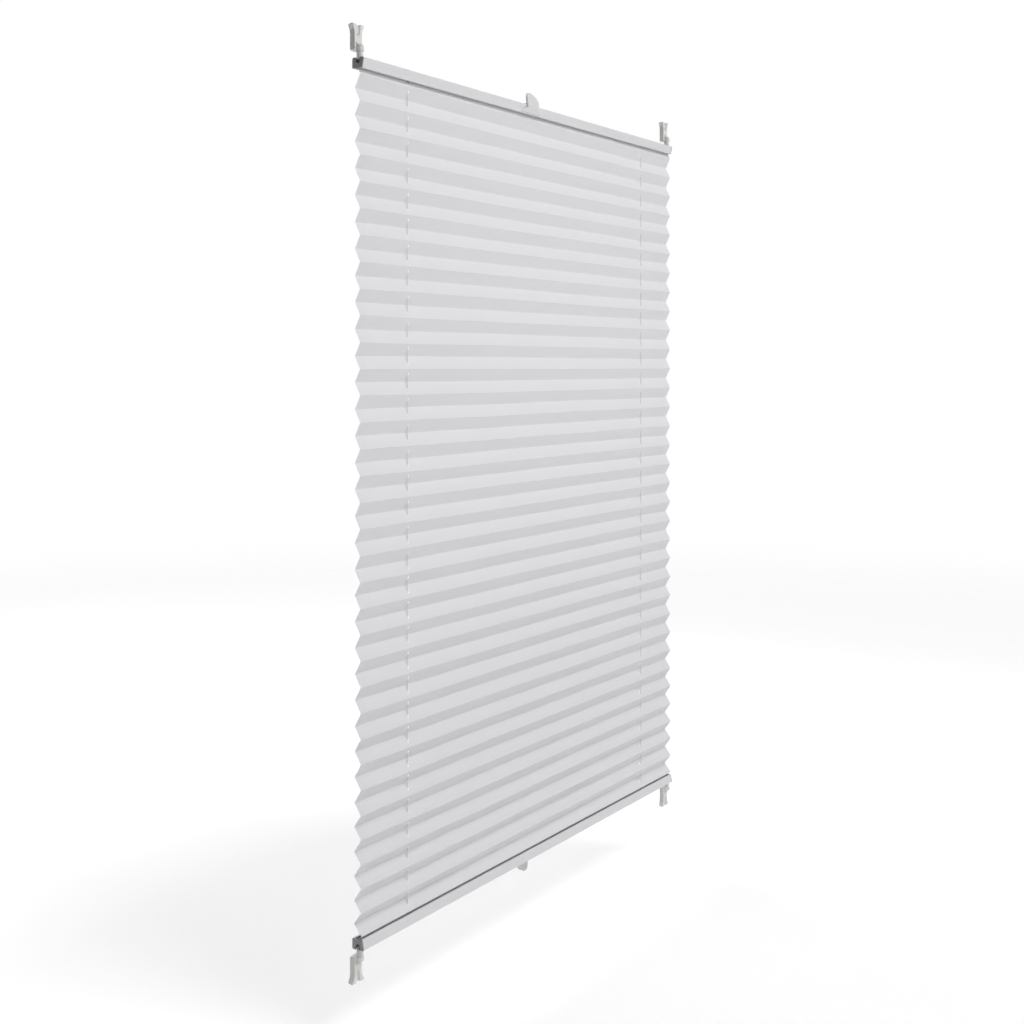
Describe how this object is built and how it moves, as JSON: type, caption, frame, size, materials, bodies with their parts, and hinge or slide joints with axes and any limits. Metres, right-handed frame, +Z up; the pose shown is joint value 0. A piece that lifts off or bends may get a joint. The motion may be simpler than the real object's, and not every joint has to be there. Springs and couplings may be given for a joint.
{
  "type": "pleated blind",
  "caption": "Pleated window blind between two slim rails that slide on tensioned cords, with four screw-on tension shoes.",
  "frame": {"origin": "centre of the four screw holes, on the plane that the tension shoes are screwed to", "axes": "+Z up along the drop, +X along the rails to the right, +Y from the room towards the window"},
  "size_m": [1.016, 0.0268, 1.3444],
  "materials": {
    "rail_white": "satin powder coat",
    "cap_grey": "fine moulded texture",
    "strip_grey": "extruded",
    "white_plastic": "satin moulded",
    "cloth_white": "pleated polyester weave",
    "cord_white": "braided cord"
  },
  "bodies": {
    "shoes": {"shoe_top_left": "white_plastic", "shoe_top_right": "white_plastic", "shoe_bottom_left": "white_plastic", "shoe_bottom_right": "white_plastic", "peg_top_left": "white_plastic", "peg_top_right": "white_plastic", "peg_bottom_left": "white_plastic", "peg_bottom_right": "white_plastic", "pleated_fabric": "cloth_white", "cord_left": "cord_white", "cord_right": "cord_white"},
    "upper_rail": {"top_rail": "rail_white", "cap_top_left": "cap_grey", "cap_top_right": "cap_grey", "handle_top": "white_plastic", "strip_top": "strip_grey", "guide_top_left": "strip_grey", "guide_top_right": "strip_grey"},
    "lower_rail": {"bottom_rail": "rail_white", "cap_bottom_left": "cap_grey", "cap_bottom_right": "cap_grey", "handle_bottom": "white_plastic", "strip_bottom": "strip_grey", "guide_bottom_left": "strip_grey", "guide_bottom_right": "strip_grey"}
  },
  "joints": [
    {"name": "top_rail_slide", "type": "slide", "parent": "shoes", "child": "upper_rail", "axis": [0, 0, 1], "range_m": [-0.56, 0], "deforming": ["pleated_fabric", "cord_left", "cord_right"]},
    {"name": "bottom_rail_slide", "type": "slide", "parent": "shoes", "child": "lower_rail", "axis": [0, 0, 1], "range_m": [0, 0.56], "deforming": ["pleated_fabric", "cord_left", "cord_right"]}
  ]
}
